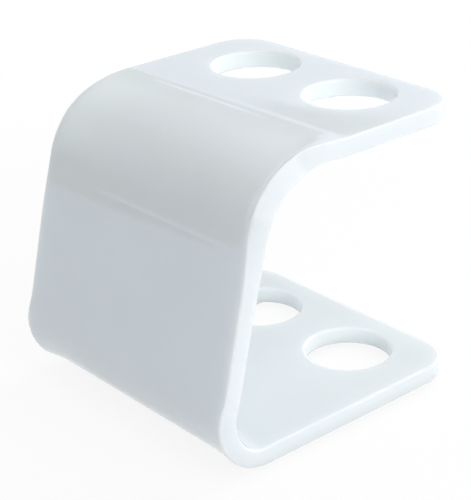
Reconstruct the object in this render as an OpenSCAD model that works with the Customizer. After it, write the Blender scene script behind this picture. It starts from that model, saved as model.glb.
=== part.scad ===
// Toothbrush holder: one acrylic sheet bent into a leaning C, standing on four clear feet.
// Millimetres. X runs across the width, the closed front panel faces -Y and the open
// side faces +Y. Z is up from the surface that the feet stand on, and the origin lies
// under the middle of the holder.

/* [Sheet] */
// Width of the sheet, side edge to side edge
holder_w = 84; // [72:1:110]
// Height of the bent sheet, from the base leaf's underside to the top leaf's upper face
sheet_h = 79.3; // [68:0.1:110]
// Depth of the bent sheet, from the front of the base bend to the ends of the leaves
sheet_d = 83.2; // [76:0.1:110]
// Thickness of the acrylic
sheet_t = 5; // [4:0.5:6]
// Rounding polished along every outer edge
edge_r = 0.5; // [0.3:0.1:1.9]
// Radius of the leaves' corners, seen from above
corner_r = 10.8; // [6:0.1:12]

/* [Bends] */
// How far the front panel leans back at its top, in degrees from upright
panel_lean = 14.2; // [4:0.1:18]
// Outer radius of the wide bend between the panel and the top leaf
top_bend_r = 22.8; // [16:0.1:26]
// Outer radius of the tight bend between the panel and the base leaf
base_bend_r = 15.6; // [10:0.1:18]
// How much the softened strip swells at each face, which leaves a fine line across the sheet
bend_swell = 0.04; // [0.02:0.01:0.08]

/* [Brush holes] */
// Bore of each hole for a brush handle
hole_d = 24; // [18:0.5:26]
// Distance between the two hole axes
hole_spacing = 37; // [32:0.5:42]
// Distance from the hole axes to the open ends of the leaves
hole_setback = 18; // [17:0.5:22]
// Rounding of each hole's rim
rim_r = 0.5; // [0.3:0.1:1.9]

/* [Feet] */
// Diameter of a foot where it is stuck on
foot_d = 8; // [6:0.5:9]
// Height of a foot
foot_h = 1.5; // [1.2:0.1:3]
// Rounding of a foot's lower rim
foot_rim_r = 0.7; // [0.3:0.1:1]
// Distance from a foot's centre to the side edge, and to the leaf's end at the rear
foot_inset = 9; // [8:0.5:10]
// Distance from a front foot's rim back to where the base bend begins
foot_bend_gap = 1; // [0.5:0.5:4]

/* [Hidden] */
$fn = 96;

LEFT = -1;
RIGHT = 1;
// How far a cut runs past the face that it opens
overrun = 1;
// How far a flat stretch runs into the swollen one beside it, so that they join
lap = 0.4;

// The profile lies in the Y-Z plane: the base bend's centre, and the top bend's, which is
// higher by the panel and further back by its lean
base_bend_y = base_bend_r - sheet_d / 2;
base_bend_z = foot_h + base_bend_r;
top_bend_z = foot_h + sheet_h - top_bend_r;
bend_drop = base_bend_r - top_bend_r;
panel_length = (top_bend_z - base_bend_z - bend_drop * sin(panel_lean)) / cos(panel_lean);
top_bend_y = base_bend_y - bend_drop * cos(panel_lean) + panel_length * sin(panel_lean);

// How far each leaf reaches from its bend to the open side
open_y = sheet_d / 2;
top_reach = open_y - top_bend_y;
base_reach = open_y - base_bend_y;

foot_x = holder_w / 2 - foot_inset;
rear_foot_y = open_y - foot_inset;
front_foot_y = base_bend_y + foot_bend_gap + foot_d / 2;

// The sheet cut across, a rounded rectangle: X along its width, Y from the outer skin
// inwards, grown all round by a swell
module sheet_section(swell = 0) {
    flat_w = holder_w - 2 * edge_r;
    flat_t = sheet_t - 2 * edge_r;
    translate([-flat_w / 2, -swell]) square([flat_w, sheet_t + 2 * swell]);
    translate([-holder_w / 2 - swell, edge_r]) square([holder_w + 2 * swell, flat_t]);
    for (x = [-flat_w / 2, flat_w / 2], y = [edge_r, edge_r + flat_t])
        translate([x, y]) circle(r = edge_r + swell);
}

// The last stretch of a leaf, cut across its rounded edge: X runs outwards from the
// corner's centre, Y through the thickness
module leaf_rim_section() {
    flat_r = corner_r - edge_r;
    flat_t = sheet_t - 2 * edge_r;
    square([flat_r, sheet_t]);
    translate([0, edge_r]) square([corner_r, flat_t]);
    for (y = [edge_r, edge_r + flat_t])
        translate([flat_r, y]) circle(r = edge_r);
}

// Ring that rounds the rim of a hole in a face at height 0, with the acrylic below it
module rim_cutter() {
    rotate_extrude()
        difference() {
            translate([hole_d / 2 - overrun, -rim_r]) square(rim_r + overrun);
            translate([hole_d / 2 + rim_r, -rim_r]) circle(r = rim_r);
        }
}

// One brush hole through a leaf, with both of its rims rounded
module brush_hole() {
    translate([0, 0, -overrun]) cylinder(d = hole_d, h = sheet_t + 2 * overrun);
    translate([0, 0, sheet_t]) rim_cutter();
    mirror([0, 0, 1]) rim_cutter();
}

// A flat leaf on Z = 0, reaching from its bend at Y = 0 to the open side
module leaf(reach) {
    corner_x = holder_w / 2 - corner_r;
    corner_y = reach - corner_r;
    difference() {
        union() {
            translate([0, -lap, sheet_t])
                rotate([-90, 0, 0])
                    linear_extrude(corner_y + lap) sheet_section();
            translate([-corner_x, corner_y, 0])
                rotate([90, 0, 90])
                    linear_extrude(2 * corner_x) leaf_rim_section();
            for (side = [LEFT, RIGHT])
                translate([side * corner_x, corner_y, 0])
                    rotate([0, 0, side == RIGHT ? 0 : 90])
                        rotate_extrude(angle = 90) leaf_rim_section();
        }
        for (side = [LEFT, RIGHT])
            translate([side * hole_spacing / 2, reach - hole_setback, 0]) brush_hole();
    }
}

// The sheet rolled about the X axis, from a level leaf at Y = 0 to the leaning panel.
// The panel hangs below a top bend and stands on a base bend.
module bend(outer_r, is_top) {
    reach = outer_r + overrun;
    difference() {
        rotate([90, 0, 90])
            rotate([0, 0, 90])
                rotate_extrude(angle = 180)
                    translate([outer_r, 0]) rotate(90) sheet_section(bend_swell);
        rotate([-panel_lean, 0, 0])
            translate([-holder_w / 2 - overrun, -reach, is_top ? -reach : 0])
                cube([holder_w + 2 * overrun, 2 * reach, reach]);
    }
}

// Bent from one sheet: each stretch is placed from the bend before it, top to base
module bent_sheet() {
    color([0.93, 0.95, 0.96])
        translate([0, top_bend_y, top_bend_z]) {
            translate([0, 0, top_bend_r - sheet_t]) leaf(top_reach);
            bend(top_bend_r, true);
            rotate([-panel_lean, 0, 0]) {
                translate([0, -top_bend_r, -panel_length - lap])
                    linear_extrude(panel_length + 2 * lap) sheet_section();
                translate([0, bend_drop, -panel_length])
                    rotate([panel_lean, 0, 0]) {
                        bend(base_bend_r, false);
                        translate([0, 0, -base_bend_r]) leaf(base_reach);
                    }
            }
        }
}

// A self-adhesive foot: a clear disc with a rounded lower rim
module foot(x, y) {
    flat_r = foot_d / 2 - foot_rim_r;
    color([0.86, 0.89, 0.9])
        translate([x, y, 0])
            rotate_extrude() {
                square([flat_r, foot_h]);
                translate([0, foot_rim_r]) square([foot_d / 2, foot_h - foot_rim_r]);
                intersection() {
                    translate([flat_r, foot_rim_r]) circle(r = foot_rim_r);
                    square([foot_d / 2, foot_h]);
                }
            }
}

module front_left_foot() foot(LEFT * foot_x, front_foot_y);
module front_right_foot() foot(RIGHT * foot_x, front_foot_y);
module rear_left_foot() foot(LEFT * foot_x, rear_foot_y);
module rear_right_foot() foot(RIGHT * foot_x, rear_foot_y);

bent_sheet();
front_left_foot();
front_right_foot();
rear_left_foot();
rear_right_foot();
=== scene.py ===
"""A toothbrush holder of glossy opal acrylic, line-bent from one sheet, on a pale studio floor.

The sheet is made the way a workshop makes it: a flat blank is cut out, its brush holes are
opened, its edges are rounded and polished, and then it is folded over two heated lines.
"""
import logging
from dataclasses import dataclass, field
from enum import IntEnum
from math import cos, pi, radians, sin

import bmesh
import bpy
from mathutils import Matrix, Vector


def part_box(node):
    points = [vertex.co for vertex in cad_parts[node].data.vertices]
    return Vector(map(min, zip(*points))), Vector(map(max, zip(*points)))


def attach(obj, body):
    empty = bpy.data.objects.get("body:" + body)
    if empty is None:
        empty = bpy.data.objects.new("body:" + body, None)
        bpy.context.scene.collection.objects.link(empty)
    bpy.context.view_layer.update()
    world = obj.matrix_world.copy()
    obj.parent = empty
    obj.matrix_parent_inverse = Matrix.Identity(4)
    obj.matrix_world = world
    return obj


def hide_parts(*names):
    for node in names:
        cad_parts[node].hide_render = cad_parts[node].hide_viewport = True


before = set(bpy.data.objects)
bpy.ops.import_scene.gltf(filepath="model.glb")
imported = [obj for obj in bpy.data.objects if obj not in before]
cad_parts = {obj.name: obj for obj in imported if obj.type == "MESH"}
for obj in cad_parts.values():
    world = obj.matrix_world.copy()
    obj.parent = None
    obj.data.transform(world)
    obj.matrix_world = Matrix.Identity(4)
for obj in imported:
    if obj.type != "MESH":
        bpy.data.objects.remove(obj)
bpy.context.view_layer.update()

ROOT = "root"
MM = 0.001
# Vertices nearer to each other than this are the same point
NEAR = 1e-6
# Most values of a noise lie between these
NOISE_SPAN = (0.3, 0.7)
WHITE = (1.0, 1.0, 1.0, 1.0)

log = logging.getLogger("toothbrush_holder")


def smooth(value: float) -> float:
    """Eases a value from 0 to 1, flat at both ends."""
    held = min(max(value, 0.0), 1.0)
    return held * held * (3.0 - 2.0 * held)


def finished(name: str, mesh: bmesh.types.BMesh,
             *materials: bpy.types.Material) -> bpy.types.Object:
    """Turns a finished bmesh into a smooth-shaded object at the origin.

    Args:
        name: The piece's name.
        mesh: The bmesh, with its place in its vertices. It is freed.
        materials: The piece's materials, in the order of its slots.

    Returns:
        The new object, linked to the scene.
    """
    data = bpy.data.meshes.new(name)
    for face in mesh.faces:
        face.smooth = True
    mesh.to_mesh(data)
    mesh.free()
    for material in materials:
        data.materials.append(material)
    piece = bpy.data.objects.new(name, data)
    bpy.context.scene.collection.objects.link(piece)
    return piece


class Recipe:
    """A node tree written line by line, with short calls for the nodes that finishes use."""

    # The colour sockets of a Mix node go by number, because their names repeat
    FIRST_COLOUR, SECOND_COLOUR, MIXED_COLOUR = 6, 7, 2

    def __init__(self, name: str, world: bpy.types.World | None = None) -> None:
        """Starts an empty material, or empties a world.

        Args:
            name: The material's name.
            world: The world that is written instead of a material.
        """
        self.material = world or bpy.data.materials.new(name)
        self.material.use_nodes = True
        self.nodes = self.material.node_tree.nodes
        self.links = self.material.node_tree.links
        self.nodes.clear()
        kind = "ShaderNodeOutputWorld" if world else "ShaderNodeOutputMaterial"
        self.output = self.nodes.new(kind)

    def add(self, kind: str, inputs: dict[str | int, object] | None = None,
            **settings: object) -> bpy.types.Node:
        """Adds a node.

        Args:
            kind: The node's type.
            inputs: Values, or sockets to link, by the input's name or number.
            settings: The node's own properties.

        Returns:
            The node.
        """
        node = self.nodes.new(kind)
        for key, value in settings.items():
            setattr(node, key, value)
        for key, value in (inputs or {}).items():
            if isinstance(value, bpy.types.NodeSocket):
                self.links.new(value, node.inputs[key])
            else:
                node.inputs[key].default_value = value
        return node

    def math(self, operation: str, *values: object) -> bpy.types.NodeSocket:
        """Adds a Math node and returns its result."""
        node = self.add("ShaderNodeMath", dict(enumerate(values)), operation=operation)
        return node.outputs[0]

    def ramp(self, value: bpy.types.NodeSocket, low: object, high: object, to_low: float = 0.0,
             to_high: float = 1.0) -> bpy.types.NodeSocket:
        """Eases a value between two limits.

        Args:
            value: The socket that is read.
            low: Where the easing begins.
            high: Where it ends.
            to_low: What it gives at and below low.
            to_high: What it gives at and above high.

        Returns:
            The eased value.
        """
        node = self.add("ShaderNodeMapRange", {"Value": value, "From Min": low, "From Max": high,
                                               "To Min": to_low, "To Max": to_high},
                        interpolation_type="SMOOTHSTEP")
        return node.outputs["Result"]

    def scaled(self, colour: object, share: bpy.types.NodeSocket) -> bpy.types.NodeSocket:
        """Scales a colour by a value and returns the result."""
        node = self.add("ShaderNodeVectorMath", {0: colour, "Scale": share}, operation="SCALE")
        return node.outputs[0]

    def mix(self, share: object, first: object, second: object) -> bpy.types.NodeSocket:
        """Mixes two colours and returns the result."""
        node = self.add("ShaderNodeMix", {"Factor": share, self.FIRST_COLOUR: first,
                                          self.SECOND_COLOUR: second}, data_type="RGBA")
        return node.outputs[self.MIXED_COLOUR]


@dataclass(frozen=True)
class OpalAcrylic:
    """Glossy white cast acrylic that lets a little light through.

    It is faintly cloudy and faintly rippled. The drill leaves the walls of the holes frosted,
    duller than the polished skin, and their colour is painted whiter there as painted light.
    """

    colour: tuple[float, float, float, float] = (0.790, 0.840, 0.874, 1.0)
    roughness: float = 0.035
    refraction: float = 1.49
    glow_depth: float = 3.6 * MM
    glow_share: float = 1.0
    # Painted light: how much whiter the colour of the hole walls is made, standing in for light on
    # them
    painted_wall_light: float = 0.08
    frost_rough: float = 0.2
    cloud_scale: float = 38.0
    cloud_roughness: float = 0.45
    cloud_dimming: float = 0.985
    cloud_dulling: float = 1.25
    ripple_scale: float = 120.0
    ripple_strength: float = 0.1
    ripple_height: float = 0.02 * MM

    def material(self) -> bpy.types.Material:
        """Writes the finish.

        Returns:
            The material, which reads where each point lay on the flat blank.
        """
        recipe = Recipe("opal_acrylic")
        place = recipe.add("ShaderNodeAttribute", attribute_name=BentSheet.BLANK)
        frost_and_painted_light = recipe.add("ShaderNodeAttribute", attribute_name=BentSheet.DRILLED).outputs["Fac"]
        cloud = recipe.add("ShaderNodeTexNoise", {
            "Vector": place.outputs["Vector"], "Scale": self.cloud_scale, "Detail": 2.0,
            "Roughness": self.cloud_roughness}).outputs["Fac"]
        shade = recipe.ramp(cloud, *NOISE_SPAN, self.cloud_dimming, 1.0)
        # Painted light: the hole walls' colour is brightened through the wall mask; their added
        # roughness is real frosting
        clouded = recipe.scaled(self.colour[:3],
                                recipe.math("MULTIPLY_ADD", frost_and_painted_light, self.painted_wall_light, shade))
        polish = recipe.ramp(cloud, *NOISE_SPAN, self.roughness,
                             self.roughness * self.cloud_dulling)
        rough = recipe.math("MULTIPLY_ADD", frost_and_painted_light, self.frost_rough, polish)
        ripple = recipe.add("ShaderNodeTexNoise", {
            "Vector": place.outputs["Vector"], "Scale": self.ripple_scale, "Detail": 1.0})
        bump = recipe.add("ShaderNodeBump", {
            "Height": ripple.outputs["Fac"], "Strength": self.ripple_strength,
            "Distance": self.ripple_height})
        shader = recipe.add("ShaderNodeBsdfPrincipled", {
            "Base Color": clouded, "Roughness": rough, "IOR": self.refraction,
            "Subsurface Weight": self.glow_share, "Subsurface Scale": self.glow_depth,
            "Subsurface Radius": (1.0, 1.0, 1.0), "Normal": bump.outputs["Normal"]})
        recipe.links.new(shader.outputs[0], recipe.output.inputs["Surface"])
        return recipe.material


@dataclass(frozen=True)
class ClearPolyurethane:
    """Clear soft plastic of a stick-on foot, a little hazy from handling."""

    colour: tuple[float, float, float, float] = (0.86, 0.89, 0.90, 1.0)
    haze: float = 0.22
    refraction: float = 1.5
    clearness: float = 0.8
    dust_scale: float = 1400.0
    dust_span: tuple[float, float] = (0.4, 0.7)
    dust_dulling: float = 1.8
    dust_strength: float = 0.15
    dust_height: float = 0.02 * MM

    def material(self) -> bpy.types.Material:
        """Writes the finish.

        Returns:
            The material.
        """
        recipe = Recipe("clear_polyurethane")
        place = recipe.add("ShaderNodeTexCoord")
        dust = recipe.add("ShaderNodeTexNoise", {
            "Vector": place.outputs["Object"], "Scale": self.dust_scale, "Detail": 3.0})
        rough = recipe.ramp(dust.outputs["Fac"], *self.dust_span, self.haze,
                            self.haze * self.dust_dulling)
        bump = recipe.add("ShaderNodeBump", {
            "Height": dust.outputs["Fac"], "Strength": self.dust_strength,
            "Distance": self.dust_height})
        shader = recipe.add("ShaderNodeBsdfPrincipled", {
            "Base Color": self.colour, "Roughness": rough, "IOR": self.refraction,
            "Transmission Weight": self.clearness, "Normal": bump.outputs["Normal"]})
        recipe.links.new(shader.outputs[0], recipe.output.inputs["Surface"])
        return recipe.material


@dataclass(frozen=True)
class StickyFilm:
    """White adhesive film between a foot and the sheet."""

    colour: tuple[float, float, float, float] = (0.78, 0.80, 0.78, 1.0)
    roughness: float = 0.55
    grain_scale: float = 2500.0
    grain_dimming: float = 0.93

    def material(self) -> bpy.types.Material:
        """Writes the finish.

        Returns:
            The material.
        """
        recipe = Recipe("sticky_film")
        place = recipe.add("ShaderNodeTexCoord")
        grain = recipe.add("ShaderNodeTexNoise", {
            "Vector": place.outputs["Object"], "Scale": self.grain_scale})
        shade = recipe.ramp(grain.outputs["Fac"], *NOISE_SPAN, self.grain_dimming, 1.0)
        shader = recipe.add("ShaderNodeBsdfPrincipled", {
            "Base Color": recipe.scaled(self.colour[:3], shade), "Roughness": self.roughness})
        recipe.links.new(shader.outputs[0], recipe.output.inputs["Surface"])
        return recipe.material


@dataclass(frozen=True)
class Fold:
    """One fold of the blank, round an axis along X.

    The angles turn from +Y towards +Z, and centre holds the Y and Z of the axis.
    """

    centre: Vector
    radius: float
    begins_at: float
    start: float
    turn: float

    @property
    def end(self) -> float:
        """The place along the blank where the fold ends."""
        return self.start + self.radius * self.turn

    def outward(self, along: float) -> Vector:
        """The direction out of the outer skin.

        Args:
            along: The place along the blank.

        Returns:
            The direction's Y and Z, with a length of 1.
        """
        held = min(max(along, self.start), self.end)
        angle = self.begins_at + (held - self.start) / self.radius
        return Vector((cos(angle), sin(angle)))

    def skin(self, along: float, depth: float) -> Vector:
        """A point at a depth below the outer skin, on the fold or on the flat after it.

        Args:
            along: The place along the blank.
            depth: How far below the outer skin.

        Returns:
            The point's Y and Z.
        """
        out = self.outward(along)
        onwards = Vector((-out.y, out.x))
        held = min(max(along, self.start), self.end)
        return self.centre + out * (self.radius - depth) + onwards * (along - held)


@dataclass(frozen=True)
class Relief:
    """Fine relief along a border of the heated strip, written as the slope of the outer skin.

    Each station is a place along the blank and the slope there. A positive slope leans the
    skin towards the base leaf's end of the blank.
    """

    stations: tuple[tuple[float, float], ...]
    slant: float = 0.0
    left: float = -60.0 * MM
    right: float = 60.0 * MM
    fade: float = 7.0 * MM

    def lift(self, across: float, along: float) -> float:
        """How far the relief lifts the outer skin at a place on the blank.

        Args:
            across: The place across the blank.
            along: The place along the blank.

        Returns:
            The lift.
        """
        shown = smooth((across - self.left) / self.fade) * smooth((self.right - across) / self.fade)
        place = along - self.slant * across
        if shown == 0.0 or place <= self.stations[0][0]:
            return 0.0
        fall = 0.0
        for (start, slope), (end, next_slope) in zip(self.stations, self.stations[1:]):
            reached = min(place, end)
            slope_there = slope + (next_slope - slope) * (reached - start) / (end - start)
            fall += (reached - start) * (slope + slope_there) / 2
            if place <= end:
                break
        return -fall * shown


def relief(*stations: tuple[float, float], run: float = 14.0, **limits: float) -> Relief:
    """Writes a relief from places in millimetres and slopes in degrees, and levels it out.

    Args:
        stations: The places and slopes.
        run: How far after the last station it is level again, in millimetres.
        limits: The relief's slant, and where it fades out at the left and right.

    Returns:
        The relief, which ends at the height where it began.
    """
    fall = sum((end - start) * (slope + after) / 2
               for (start, slope), (end, after) in zip(stations, stations[1:]))
    last = stations[-1][0]
    closed = [*stations, (last + run / 2, -2 * fall / run), (last + run, 0.0)]
    return Relief(tuple((place * MM, radians(slope)) for place, slope in closed), **limits)


@dataclass(frozen=True)
class Flare:
    """How the ends of a bend curl outwards, as softened sheet does when it is bent.

    The near end curls by one amount and the far end by another, within reach of the side
    edge, and the outer skin draws in by the narrowing. Both begin between two places measured
    from the bend's start. Two places measured from the bend's end say where the curl sinks
    again, and two more where the sheet widens again.
    """

    near_end: float
    far_end: float
    reach: float
    narrowing: float
    rises: tuple[float, float]
    sinks: tuple[float, float]
    widens: tuple[float, float]
    steepness: float = 2.0

    def shape(self, fold: Fold, along: float, from_edge: float) -> tuple[float, float]:
        """How much of the curl and of the narrowing a place has.

        Args:
            fold: The bend.
            along: The place along the blank.
            from_edge: Its distance from the side edge.

        Returns:
            Both shares, from 0 on the flat sheet to 1 at the side edge of the bend.
        """
        rise = (along - fold.start - self.rises[0]) / (self.rises[1] - self.rises[0])
        begun = smooth(rise) * max(0.0, 1.0 - from_edge / self.reach) ** self.steepness
        left = (smooth((fold.end + last - along) / (last - first))
                for first, last in (self.sinks, self.widens))
        curl, drawn_in = (begun * share for share in left)
        return curl, drawn_in


class Way(IntEnum):
    """The two ways in which the flat blank is measured."""

    ACROSS = 0
    ALONG = 1


@dataclass
class BentSheet:
    """The holder's one sheet: top leaf, wide bend, leaning panel, tight bend and base leaf.

    It is worked as a flat blank, which lies with its outer skin at Z = 0 and runs along Y
    from the top leaf's open end to the base leaf's.
    """

    NODE = "bent_sheet"
    # The mesh attributes that the acrylic reads: the place on the blank, and the drilled walls
    # (painted lighter)
    BLANK = "blank"
    DRILLED = "drilled"

    width: float = 84.0 * MM
    height: float = 79.3 * MM
    thickness: float = 5.0 * MM
    edge_round: float = 0.5 * MM
    rim_round: float = 0.9 * MM
    corner_radius: float = 10.8 * MM
    lean: float = radians(14.2)
    top_radius: float = 22.8 * MM
    base_radius: float = 15.6 * MM
    front_to_open: float = 83.2 * MM
    hole_radius: float = 12.0 * MM
    hole_spacing: float = 37.0 * MM
    top_setback: float = 17.3 * MM
    base_setback: float = 18.55 * MM
    hole_drift: float = 0.25 * MM
    rim_margin: float = 1.0 * MM
    worked_before_top_bend: float = 17.0 * MM
    worked_after_base_bend: float = 9.0 * MM

    edge_segments: int = 6
    corner_segments: int = 14
    hole_segments: int = 48
    corner_flare: Flare = Flare(near_end=0.42 * MM, far_end=0.05 * MM, reach=7.8 * MM,
                                narrowing=0.0, rises=(-9.8 * MM, -3.8 * MM),
                                sinks=(-33.0 * MM, -15.0 * MM), widens=(-5.0 * MM, 7.0 * MM),
                                steepness=1.4)
    top_flare: Flare = Flare(near_end=0.6 * MM, far_end=0.1 * MM, reach=4.2 * MM,
                             narrowing=1.4 * MM, rises=(-5.0 * MM, 5.0 * MM),
                             sinks=(-9.0 * MM, 15.0 * MM), widens=(-11.0 * MM, 19.0 * MM))
    base_flare: Flare = Flare(near_end=0.85 * MM, far_end=1.0 * MM, reach=12.0 * MM,
                              narrowing=0.35 * MM, rises=(-5.0 * MM, 5.1 * MM),
                              sinks=(-12.0 * MM, 2.0 * MM), widens=(-12.0 * MM, 2.0 * MM))

    def __post_init__(self) -> None:
        """Works out the folds and the blank's length from the sizes and the frame."""
        self.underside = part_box("rear_left_foot")[1][2]
        self.open_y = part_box(self.NODE)[1][1]
        panel_out = Vector((-cos(self.lean), sin(self.lean)))
        panel_up = Vector((sin(self.lean), cos(self.lean)))
        base_centre = Vector((self.open_y - self.front_to_open + self.base_radius,
                              self.underside + self.base_radius))
        top_z = self.underside + self.height - self.top_radius
        foot_of_panel = base_centre + panel_out * (self.base_radius - self.top_radius)
        panel_length = (top_z - foot_of_panel.y) / panel_up.y
        top_centre = foot_of_panel + panel_up * panel_length
        self.top_fold = Fold(top_centre, self.top_radius, pi / 2, self.open_y - top_centre.x,
                             pi / 2 - self.lean)
        self.base_fold = Fold(base_centre, self.base_radius, pi - self.lean,
                              self.top_fold.end + panel_length, pi / 2 + self.lean)
        self.length = self.base_fold.end + self.open_y - base_centre.x
        self.reliefs = self._heat_marks()

    @staticmethod
    def _heat_marks() -> tuple[Relief, ...]:
        """The marks that the heated strip leaves on the outer skin at the top bend.

        Returns:
            The swelling and the sharp line at the top leaf, then the same two at the panel.
        """
        return (
            relief((33.0, 0.0), (34.3, 0.15), (37.0, 0.12), (40.6, 0.05), (41.2, -0.7),
                   (42.5, -0.7), (43.2, 1.2), (44.6, 1.2), (46.0, 2.0), (48.5, 2.7), (50.0, 2.9),
                   (52.0, 1.6), (55.0, 0.0), slant=-0.012),
            relief((44.0, 0.0), (44.35, -3.2), (45.35, -3.2), (45.7, 0.0), slant=-0.006,
                   left=-30.0 * MM, right=18.0 * MM),
            relief((80.0, 0.0), (82.0, -0.12), (88.0, -0.12), (90.0, 0.0), left=-50.0 * MM,
                   right=36.0 * MM),
            relief((83.45, 0.0), (83.7, 3.2), (84.4, 3.2), (84.65, -0.15), (87.5, -0.15),
                   (88.5, 0.0), run=8.0, left=-18.0 * MM, right=40.0 * MM),
        )

    def build(self, material: bpy.types.Material) -> bpy.types.Object:
        """Makes the sheet as its own piece, in place of the frame's plain one.

        Args:
            material: The acrylic.

        Returns:
            The piece.
        """
        mesh = self._half_blank()
        geometry = mesh.verts[:] + mesh.edges[:] + mesh.faces[:]
        bmesh.ops.mirror(mesh, geom=geometry, axis="X", merge_dist=NEAR)
        for vert in mesh.verts:
            if self._on_rim(vert.co):
                vert.co.x += self.hole_drift
        self._thicken(mesh)
        self._round_edges(mesh)
        self._fold(mesh)
        piece = finished("acrylic_sheet", mesh, material)
        weighted = piece.modifiers.new("even_shading", "WEIGHTED_NORMAL")
        weighted.mode = "FACE_AREA"
        weighted.weight = 50
        return piece

    def _half_blank(self) -> bmesh.types.BMesh:
        """Cuts out the right half of the flat blank, with its holes, as one layer of faces.

        Returns:
            The half: X across the blank, Y along it from the top leaf's open end.
        """
        mesh = bmesh.new()
        bmesh.ops.create_grid(mesh, x_segments=1, y_segments=1, size=0.5)
        bmesh.ops.scale(mesh, vec=(self.width / 2, self.length, 1.0), verts=mesh.verts)
        bmesh.ops.translate(mesh, vec=(self.width / 4, self.length / 2, 0.0), verts=mesh.verts)
        corners = [v for v in mesh.verts if v.co.x > NEAR]
        bmesh.ops.bevel(mesh, geom=corners, offset=self.corner_radius, profile=0.5,
                        segments=self.corner_segments, affect="VERTICES", material=-1)
        for along in self._rows():
            self._cut(mesh, mesh.faces[:], along, Way.ALONG)
        first, last = self._worked_span()
        for across in self._columns():
            worked = [f for f in mesh.faces if first < f.calc_center_median().y < last]
            self._cut(mesh, worked, across, Way.ACROSS)
        for along in self._hole_places():
            self._open_hole(mesh, along)
        return mesh

    def _hole_places(self) -> tuple[float, float]:
        """The places along the blank of the top leaf's holes and the base leaf's."""
        return self.top_setback, self.length - self.base_setback

    def _worked_span(self) -> tuple[float, float]:
        """The first and last place along the blank that bending changes."""
        return (self.top_fold.start - self.worked_before_top_bend,
                self.base_fold.end + self.worked_after_base_bend)

    def _rows(self) -> list[float]:
        """Spaces the rows of faces along the blank, closest where the heat left its sharp lines.

        Returns:
            The places along the blank where its faces are divided.
        """
        first, last = self._worked_span()
        begins_and_steps = (
            (first, 0.65 * MM), (40.4 * MM, 0.15 * MM), (46.4 * MM, 0.6 * MM),
            (self.top_fold.start, 0.6 * MM), (self.top_fold.end, 0.7 * MM), (82.6 * MM, 0.12 * MM),
            (86.4 * MM, 1.5 * MM), (101.0 * MM, 3.2 * MM),
            (self.base_fold.start - 6.0 * MM, 1.0 * MM), (self.base_fold.start, 0.54 * MM),
            (self.base_fold.end, 1.2 * MM))
        ends = [*(begin for begin, _ in begins_and_steps[1:]), last]
        rows = []
        for (begin, step), end in zip(begins_and_steps, ends):
            count = max(1, round((end - begin) / step))
            rows += [begin + (end - begin) * number / count for number in range(count)]
        return [*rows, last, *self._hole_places()]

    def _columns(self) -> list[float]:
        """The places across the right half where the bends' faces are divided."""
        from_edge = (1.4, 2.0, 2.7, 3.5, 4.3, 5.2, 6.2, 7.3, 8.5, 10.0, 12.0, 14.5, 18.0, 22.0,
                     26.5, 31.5, 36.5)
        return [self.width / 2 - distance * MM for distance in from_edge]

    @staticmethod
    def _cut(mesh: bmesh.types.BMesh, faces: list[bmesh.types.BMFace], place: float,
             way: Way) -> None:
        """Divides faces along a straight line.

        Args:
            mesh: The blank.
            faces: The faces that may be divided.
            place: Where the line lies.
            way: Whether that place is measured across the blank or along it.
        """
        point = Vector((0.0, 0.0, 0.0))
        point[way] = place
        normal = Vector((0.0, 0.0, 0.0))
        normal[way] = 1.0
        edges = {edge for face in faces for edge in face.edges}
        verts = {vert for face in faces for vert in face.verts}
        bmesh.ops.bisect_plane(mesh, geom=[*verts, *edges, *faces], dist=NEAR, plane_co=point,
                               plane_no=normal)

    def _open_hole(self, mesh: bmesh.types.BMesh, along: float) -> None:
        """Opens a slit on the line through the holes, and spreads it to a round hole.

        Args:
            mesh: The half blank.
            along: The hole's place along the blank.
        """
        middle, radius = self.hole_spacing / 2, self.hole_radius
        on_line = [e for e in mesh.edges if all(abs(v.co.y - along) < NEAR for v in e.verts)]
        edge = max(on_line, key=lambda e: e.calc_length())
        inner = min(edge.verts, key=lambda v: v.co.x)
        to_hole = (middle - radius - inner.co.x) / edge.calc_length()
        _, start = bmesh.utils.edge_split(edge, inner, to_hole)
        edge = next(e for e in start.link_edges if e.other_vert(start).co.x > start.co.x
                    and abs(e.other_vert(start).co.y - along) < NEAR)
        bmesh.utils.edge_split(edge, start, 2 * radius / edge.calc_length())
        slit = next(e for e in start.link_edges if abs(e.calc_length() - 2 * radius) < NEAR)
        cut = bmesh.ops.subdivide_edges(mesh, edges=[slit], cuts=self.hole_segments // 2 - 1)
        edges = [e for e in cut["geom_split"] if isinstance(e, bmesh.types.BMEdge)]
        edges = [e for e in edges if all(abs(v.co.y - along) < NEAR for v in e.verts)]
        bmesh.ops.split_edges(mesh, edges=edges)
        # The spread is kept in Z until each vertex has found the side that its face is on
        for vert in mesh.verts:
            if abs(vert.co.y - along) < NEAR and abs(vert.co.x - middle) < radius - NEAR:
                share = (vert.co.x - middle + radius) / (2 * radius)
                side = -1.0 if vert.link_faces[0].calc_center_median().y < along else 1.0
                vert.co.x = middle - radius * cos(pi * share)
                vert.co.z = side * radius * sin(pi * share)
        for vert in mesh.verts:
            if vert.co.z != 0.0:
                vert.co.y += vert.co.z
                vert.co.z = 0.0

    def _thicken(self, mesh: bmesh.types.BMesh) -> None:
        """Gives the flat blank its thickness, from Z = 0 at the outer skin down.

        Args:
            mesh: The blank, as one layer of faces.
        """
        layer = bmesh.ops.extrude_face_region(mesh, geom=mesh.faces[:])
        moved = [v for v in layer["geom"] if isinstance(v, bmesh.types.BMVert)]
        bmesh.ops.translate(mesh, vec=(0.0, 0.0, -self.thickness), verts=moved)
        bmesh.ops.recalc_face_normals(mesh, faces=mesh.faces)

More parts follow.
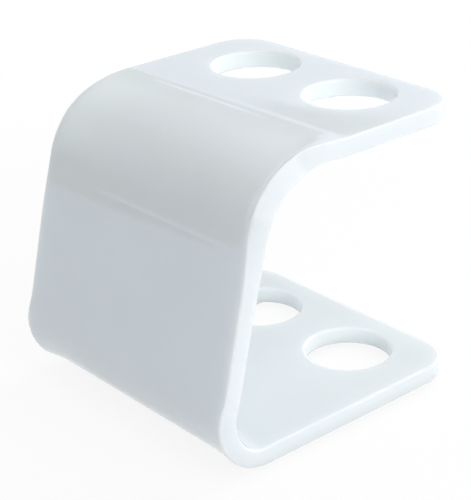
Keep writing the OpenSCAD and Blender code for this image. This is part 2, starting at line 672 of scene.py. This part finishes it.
    def _round_edges(self, mesh: bmesh.types.BMesh) -> None:
        """Rounds every edge between a skin and a wall, and the rims of the holes more.

        Args:
            mesh: The blank.
        """
        edges, rims = [], []
        for edge in mesh.edges:
            flat = [abs(face.normal.z) > 0.5 for face in edge.link_faces]
            if sorted(flat) == [False, True]:
                chosen = rims if self._on_rim(edge.verts[0].co) else edges
                chosen.append(edge)
        for chosen, radius in ((edges, self.edge_round), (rims, self.rim_round)):
            bmesh.ops.bevel(mesh, geom=chosen, offset=radius, offset_type="OFFSET", profile=0.5,
                            segments=self.edge_segments, affect="EDGES", material=-1,
                            clamp_overlap=False)

    def _on_rim(self, point: Vector) -> bool:
        """Tells whether a point of the blank lies on a hole's wall or rim.

        Args:
            point: The point, before the blank is folded.

        Returns:
            True on the wall, and up to the rim's margin outside it.
        """
        across = abs(point.x) - self.hole_spacing / 2
        distance = min(Vector((across, point.y - along)).length for along in self._hole_places())
        return distance < self.hole_radius + self.rim_margin

    def _fold(self, mesh: bmesh.types.BMesh) -> None:
        """Folds the blank, and writes for the finish where each vertex lay and what is drilled.

        The relief fades out halfway through the thickness. What a bend's end draws in at the
        outer skin it pushes out at the inner one.

        Args:
            mesh: The blank.
        """
        blank = mesh.verts.layers.float_vector.new(self.BLANK)
        drilled = mesh.verts.layers.float.new(self.DRILLED)
        for vert in mesh.verts:
            across, along, depth = vert.co.x, vert.co.y, -vert.co.z
            vert[blank] = Vector((across, along, depth))
            # The mask of the hole walls, which the acrylic makes rougher and paints lighter as
            # painted light
            if self._on_rim(vert.co):
                vert[drilled] = smooth(min(depth, self.thickness - depth) / self.rim_round)
            outer_share = 1.0 - 2.0 * depth / self.thickness
            lift, squeeze = self._bend_end(across, along)
            marks = sum(each.lift(across, along) for each in self.reliefs)
            place = self._folded(along, depth - lift - marks * max(0.0, outer_share))
            vert.co = (across - squeeze * outer_share, place.x, place.y)

    def _folded(self, along: float, depth: float) -> Vector:
        """Where a point of the blank lies once it is folded.

        Args:
            along: The place along the blank.
            depth: How far below the outer skin.

        Returns:
            The point's Y and Z.
        """
        halfway = (self.top_fold.end + self.base_fold.start) / 2
        fold = self.top_fold if along < halfway else self.base_fold
        return fold.skin(along, depth)

    def _bend_end(self, across: float, along: float) -> tuple[float, float]:
        """How a bend's end curls outwards, and how its outer skin draws in.

        Args:
            across: The place across the blank.
            along: The place along the blank.

        Returns:
            The lift out of the outer skin, and the shift in X of the outer skin.
        """
        lift = squeeze = 0.0
        for fold, flare in ((self.top_fold, self.corner_flare), (self.top_fold, self.top_flare),
                            (self.base_fold, self.base_flare)):
            curl, drawn_in = flare.shape(fold, along, self.width / 2 - abs(across))
            lift += curl * (flare.near_end if across > 0 else flare.far_end)
            squeeze += drawn_in * (flare.narrowing if across > 0 else -flare.narrowing)
        return lift, squeeze


class FootLayer(IntEnum):
    """The two layers of a foot, by their material slots."""

    PLASTIC = 0
    FILM = 1


@dataclass
class Foot:
    """A clear stick-on foot: a cushioned disc on a thin adhesive film."""

    node: str
    film: float = 0.12 * MM
    film_inset: float = 0.15 * MM
    rim_round: float = 0.7 * MM
    taper: float = 0.12 * MM
    cap_border: float = 0.1 * MM
    segments: int = 48
    rim_segments: int = 5

    def build(self, clear: bpy.types.Material, sticky: bpy.types.Material) -> bpy.types.Object:
        """Makes the foot in place of the frame's plain one.

        Args:
            clear: The foot's plastic.
            sticky: The adhesive film.

        Returns:
            The piece.
        """
        low, high = (Vector(corner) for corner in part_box(self.node))
        radius, top = (high.x - low.x) / 2, high.z
        centre = Vector(((low.x + high.x) / 2, (low.y + high.y) / 2, 0.0))
        mesh = bmesh.new()
        self._disc(mesh, radius, low.z, top - self.film, self.rim_round, FootLayer.PLASTIC)
        self._disc(mesh, radius - self.film_inset, top - self.film, top, 0.0, FootLayer.FILM)
        bmesh.ops.translate(mesh, vec=centre, verts=mesh.verts)
        return finished(f"{self.node}_bumper", mesh, clear, sticky)

    def _disc(self, mesh: bmesh.types.BMesh, radius: float, low: float, high: float, rim: float,
              layer: FootLayer) -> None:
        """Adds one closed disc round the Z axis, with a rounded lower rim.

        Args:
            mesh: Where it is added.
            radius: Its radius at the top.
            low: Its underside.
            high: Its top.
            rim: The rounding of its lower rim, or 0 for a plain disc.
            layer: The layer that it is.
        """
        below = radius - self.taper if rim else radius
        made = bmesh.ops.create_cone(mesh, cap_ends=True, segments=self.segments, radius1=below,
                                     radius2=radius, depth=high - low,
                                     matrix=Matrix.Translation((0.0, 0.0, (low + high) / 2)))
        verts = made["verts"]
        for face in {face for vert in verts for face in vert.link_faces}:
            face.material_index = layer
        if rim:
            edges = {edge for vert in verts for edge in vert.link_edges}
            lower = [edge for edge in edges if all(v.co.z < low + NEAR for v in edge.verts)]
            bmesh.ops.bevel(mesh, geom=lower, offset=rim, offset_type="OFFSET", profile=0.5,
                            segments=self.rim_segments, affect="EDGES", material=-1)
        caps = [face for face in mesh.faces if len(face.verts) == self.segments]
        for cap in caps:
            bmesh.ops.inset_region(mesh, faces=[cap], thickness=self.cap_border,
                                   use_even_offset=True)


@dataclass(frozen=True)
class Softbox:
    """A large soft lamp that faces the holder."""

    name: str
    azimuth: float
    elevation: float
    distance: float
    size: float
    watts: float
    colour: tuple[float, float, float] = (1.0, 1.0, 1.0)

    def build(self, aim: Vector) -> bpy.types.Object:
        """Hangs the lamp.

        Args:
            aim: The point that it faces.

        Returns:
            The lamp.
        """
        data = bpy.data.lights.new(self.name, "AREA")
        data.shape = "DISK"
        data.size = self.size
        data.energy = self.watts
        data.color = self.colour
        lamp = bpy.data.objects.new(self.name, data)
        away = direction(self.azimuth, self.elevation)
        lamp.location = aim + away * self.distance
        lamp.rotation_euler = away.to_track_quat("Z", "Y").to_euler()
        bpy.context.scene.collection.objects.link(lamp)
        return lamp


def direction(azimuth: float, elevation: float) -> Vector:
    """The way from the holder to something round it.

    Args:
        azimuth: In degrees: 0 is in front, towards -Y, and 90 is at the right, towards +X.
        elevation: In degrees above the floor.

    Returns:
        A vector of length 1.
    """
    turn, rise = radians(azimuth), radians(elevation)
    return Vector((sin(turn) * cos(rise), -cos(turn) * cos(rise), sin(rise)))


@dataclass(frozen=True)
class WhiteWall:
    """The low white wall behind the holder, far enough away to be drawn by the world."""

    azimuth: float = -129.5
    half_angle: float = 60.0
    height: float = 18.9
    tilt: float = 8.0
    softness: float = 0.002
    side_softness: float = 0.1
    shade_depth: float = 0.06
    top_colour: tuple[float, float, float, float] = (0.60, 0.62, 0.65, 1.0)
    low_colour: tuple[float, float, float, float] = (0.70, 0.74, 0.78, 1.0)

    def write(self, recipe: Recipe, ray: bpy.types.NodeSocket) -> tuple[bpy.types.NodeSocket, ...]:
        """Writes where the wall is seen and how bright it is.

        Args:
            recipe: The world's node tree.
            ray: The direction that is looked in.

        Returns:
            Two sockets: a share, 1 on the wall and 0 in the dim room above and beside it, and
            the wall's colour, which is brighter below.
        """
        middle = direction(self.azimuth, 0.0)
        edge = Vector((-middle.y, middle.x, -sin(radians(self.tilt))))
        over = edge.cross(direction(self.azimuth, self.height)).normalized()
        over *= 1.0 if over.z > 0.0 else -1.0
        above = recipe.add("ShaderNodeVectorMath", {0: ray, 1: over}, operation="DOT_PRODUCT")
        toward = recipe.add("ShaderNodeVectorMath", {0: ray, 1: middle}, operation="DOT_PRODUCT")
        below_top = recipe.ramp(above.outputs["Value"], -self.softness, self.softness, 1.0, 0.0)
        side = cos(radians(self.half_angle))
        within = recipe.ramp(toward.outputs["Value"], side - self.side_softness,
                             side + self.side_softness)
        lower = recipe.ramp(above.outputs["Value"], -self.shade_depth, 0.0, 1.0, 0.0)
        colour = recipe.mix(lower, self.top_colour, self.low_colour)
        return recipe.math("MULTIPLY", below_top, within), colour


@dataclass(frozen=True)
class Glow:
    """One light part of the room, as the gloss mirrors it.

    It adds its colour where the direction that is looked in points far enough to the left, to
    the front, up, or up and to the front together. Each pair holds where it begins and where
    it is at its full strength, on a direction of length 1, and None sets no limit.
    """

    colour: tuple[float, float, float]
    left: tuple[float, float] | None = None
    front: tuple[float, float] | None = None
    up: tuple[float, float] | None = None
    raised: tuple[float, float] | None = None

    def write(self, recipe: Recipe, shown: bpy.types.NodeSocket,
              ways: dict[str, bpy.types.NodeSocket]) -> bpy.types.NodeSocket:
        """Adds the glow to what is shown so far.

        Args:
            recipe: The world's node tree.
            shown: The colour so far.
            ways: How far the direction points each way, by the names of the limits.

        Returns:
            The colour with the glow.
        """
        share = None
        for name, way in ways.items():
            limits = getattr(self, name)
            if limits:
                part = recipe.ramp(way, *limits)
                share = part if share is None else recipe.math("MULTIPLY", share, part)
        both = recipe.add("ShaderNodeVectorMath", {0: shown, 1: recipe.scaled(self.colour, share)},
                          operation="ADD")
        return both.outputs[0]


@dataclass
class Studio:
    """The white room round the holder: camera, lamps, floor and the light of the walls."""

    azimuth: float = 50.533
    elevation: float = 24.448
    roll: float = -2.381
    distance: float = 409.74 * MM
    aim: Vector = field(default_factory=lambda: Vector((0.345, -0.989, 38.431)) * MM)
    lens: float = 109.382
    sensor: float = 36.0
    clip_start: float = 0.01
    clip_end: float = 100.0
    table_turn: float = 55.4
    table_width: float = 1.34
    table_length: float = 3.4
    paper_colour: tuple[float, float, float, float] = (0.9, 0.9, 0.9, 1.0)
    paper_white_at: tuple[float, float] = (0.10, 0.30)
    paper_white_near: float = 0.88
    left_light: float = 0.82
    sky_light: float = 0.42
    wall: WhiteWall = WhiteWall()
    dim_room: tuple[float, float, float] = (0.10, 0.08, 0.02)
    raised_by_front: float = 0.35
    window: Glow = Glow((0.72, 0.86, 0.86), left=(0.768, 0.796), raised=(0.2, 0.55))
    curtain: Glow = Glow((0.26, 0.30, 0.30), left=(0.74, 0.78), raised=(0.0, 0.25))
    front_window: Glow = Glow((0.34, 0.40, 0.41), left=(0.725, 0.775), front=(0.15, 0.5),
                              up=(-0.3, 0.35))
    ceiling: Glow = Glow((0.30, 0.22, 0.04), up=(0.2, 0.72))
    lamplight: Glow = Glow((0.34, 0.20, 0.0), front=(-0.2, 0.5))
    softboxes: tuple[Softbox, ...] = (
        Softbox("front_softbox", 45.0, 20.0, 1.0, 0.8, 0.4),
        Softbox("right_softbox", 90.0, 20.0, 1.0, 0.8, 3.2),
        Softbox("high_right_softbox", 90.0, 50.0, 1.0, 0.8, 3.0),
        Softbox("rear_softbox", 180.0, 20.0, 1.0, 0.8, 3.1),
        Softbox("high_rear_softbox", 180.0, 50.0, 1.0, 0.8, 2.4),
    )

    def build(self) -> None:
        """Sets up the whole room."""
        self.camera()
        for softbox in self.softboxes:
            softbox.build(self.aim)
            log.info("lamp %s: %.1f W", softbox.name, softbox.watts)
        self.floor()
        self.world()
        bpy.context.scene.view_settings.view_transform = "Standard"

    def camera(self) -> bpy.types.Object:
        """Places the camera at the photograph's viewing angle.

        Returns:
            The camera.
        """
        data = bpy.data.cameras.new("camera")
        data.sensor_width = self.sensor
        data.lens = self.lens
        data.clip_start = self.clip_start
        data.clip_end = self.clip_end
        camera = bpy.data.objects.new("camera", data)
        back = direction(self.azimuth, self.elevation)
        turn = radians(self.azimuth)
        level = Vector((cos(turn), sin(turn), 0.0))
        upright = back.cross(level)
        roll = radians(self.roll)
        right = cos(roll) * level + sin(roll) * upright
        up = cos(roll) * upright - sin(roll) * level
        camera.matrix_world = (Matrix.Translation(self.aim + back * self.distance)
                               @ Matrix((right, up, back)).transposed().to_4x4())
        bpy.context.scene.collection.objects.link(camera)
        bpy.context.scene.camera = camera
        return camera

    def floor(self) -> bpy.types.Object:
        """Lays the pale floor, a table top in line with the camera.

        Returns:
            The floor.
        """
        mesh = bmesh.new()
        bmesh.ops.create_grid(mesh, x_segments=2, y_segments=2, size=0.5)
        bmesh.ops.scale(mesh, vec=(self.table_width, self.table_length, 1.0), verts=mesh.verts)
        turned = Matrix.Rotation(radians(self.table_turn), 3, "Z")
        bmesh.ops.rotate(mesh, matrix=turned, verts=mesh.verts)
        floor = finished("floor", mesh, self._paper())
        return floor

    def _paper(self) -> bpy.types.Material:
        """Writes the white paper of the floor, which shows the camera a high-key white.

        Returns:
            The material. Round the holder it keeps enough of the plain paper to show its shadow.
        """
        recipe = Recipe("studio_paper")
        place = recipe.add("ShaderNodeTexCoord")
        away = recipe.add("ShaderNodeVectorMath", {0: place.outputs["Object"]}, operation="LENGTH")
        share = recipe.ramp(away.outputs["Value"], *self.paper_white_at, self.paper_white_near, 1.0)
        paper = recipe.add("ShaderNodeBsdfDiffuse", {"Color": self.paper_colour})
        lit = recipe.add("ShaderNodeEmission", {"Color": WHITE, "Strength": 1.0})
        shown = recipe.add("ShaderNodeMixShader", {0: share, 1: paper.outputs[0],
                                                   2: lit.outputs[0]})
        seen = recipe.add("ShaderNodeMixShader", {0: self._seen(recipe), 1: paper.outputs[0],
                                                  2: shown.outputs[0]})
        recipe.links.new(seen.outputs[0], recipe.output.inputs["Surface"])
        return recipe.material

    @staticmethod
    def _seen(recipe: Recipe) -> bpy.types.NodeSocket:
        """Tells the rays that show a surface from those that only gather light from it.

        Args:
            recipe: The surface's node tree.

        Returns:
            1 on rays that show it directly, in gloss or through plastic, and 0 on others.
        """
        path = recipe.add("ShaderNodeLightPath").outputs
        direct = recipe.math("MAXIMUM", path["Is Camera Ray"], path["Is Glossy Ray"])
        return recipe.math("MAXIMUM", direct, path["Is Transmission Ray"])

    def world(self) -> None:
        """Lights the room: white where the camera looks, and the walls that the gloss mirrors."""
        world = bpy.data.worlds.new("studio")
        bpy.context.scene.world = world
        recipe = Recipe("studio", world)
        ray = recipe.add("ShaderNodeTexCoord").outputs["Generated"]
        path = recipe.add("ShaderNodeLightPath").outputs
        on_wall, wall = self.wall.write(recipe, ray)
        mirrored = recipe.mix(on_wall, self._mirrored_room(recipe, ray), wall)
        shown = recipe.math("MAXIMUM", path["Is Camera Ray"], path["Is Transmission Ray"])
        gloss = recipe.add("ShaderNodeBackground", {"Color": mirrored, "Strength": 1.0})
        fill = recipe.add("ShaderNodeBackground", {"Color": WHITE,
                                                   "Strength": self._room_light(recipe, ray)})
        open_white = recipe.add("ShaderNodeBackground", {"Color": WHITE, "Strength": 1.0})
        lit = recipe.add("ShaderNodeMixShader", {0: path["Is Glossy Ray"], 1: fill.outputs[0],
                                                 2: gloss.outputs[0]})
        seen = recipe.add("ShaderNodeMixShader", {0: shown, 1: lit.outputs[0],
                                                  2: open_white.outputs[0]})
        recipe.links.new(seen.outputs[0], recipe.output.inputs["Surface"])

    def _mirrored_room(self, recipe: Recipe, ray: bpy.types.NodeSocket) -> bpy.types.NodeSocket:
        """Writes what the gloss mirrors beside the wall.

        Args:
            recipe: The world's node tree.
            ray: The direction that is looked in.

        Returns:
            The colour: a warm dim room, with a cool bright window high at the left, the glow
            of its curtain, a dimmer window in front, a paler ceiling and some lamplight.
        """
        split = recipe.add("ShaderNodeSeparateXYZ", {0: ray}).outputs
        front = recipe.math("MULTIPLY", split["Y"], -1.0)
        ways = {"left": recipe.math("MULTIPLY", split["X"], -1.0), "front": front,
                "up": split["Z"],
                "raised": recipe.math("MULTIPLY_ADD", front, self.raised_by_front, split["Z"])}
        shown = recipe.add("ShaderNodeCombineXYZ", dict(enumerate(self.dim_room))).outputs[0]
        for glow in (self.window, self.curtain, self.front_window, self.ceiling, self.lamplight):
            shown = glow.write(recipe, shown, ways)
        return shown

    def _room_light(self, recipe: Recipe, ray: bpy.types.NodeSocket) -> bpy.types.NodeSocket:
        """Writes how strongly the room lights matt surfaces from each direction.

        Args:
            recipe: The world's node tree.
            ray: The direction that is looked in.

        Returns:
            The strength: soft light from the bright left side of the room and from its ceiling.
        """
        split = recipe.add("ShaderNodeSeparateXYZ", {0: ray}).outputs
        left = recipe.math("MULTIPLY", split["X"], -self.left_light)
        above = recipe.math("MULTIPLY", split["Z"], self.sky_light)
        return recipe.math("ADD", recipe.math("MAXIMUM", left, 0.0),
                           recipe.math("MAXIMUM", above, 0.0))


def main() -> None:
    """Builds the holder and its studio."""
    logging.basicConfig(level=logging.INFO, format="%(name)s: %(message)s")
    Studio().build()
    sheet = BentSheet()
    piece = sheet.build(OpalAcrylic().material())
    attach(piece, ROOT)
    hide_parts(BentSheet.NODE)
    log.info("%s: %d faces", piece.name, len(piece.data.polygons))
    clear, sticky = ClearPolyurethane().material(), StickyFilm().material()
    for node in sorted(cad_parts):
        if node != BentSheet.NODE:
            foot = Foot(node).build(clear, sticky)
            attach(foot, ROOT)
            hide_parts(node)
            log.info("%s: %d faces", foot.name, len(foot.data.polygons))


if __name__ == "__main__":
    main()
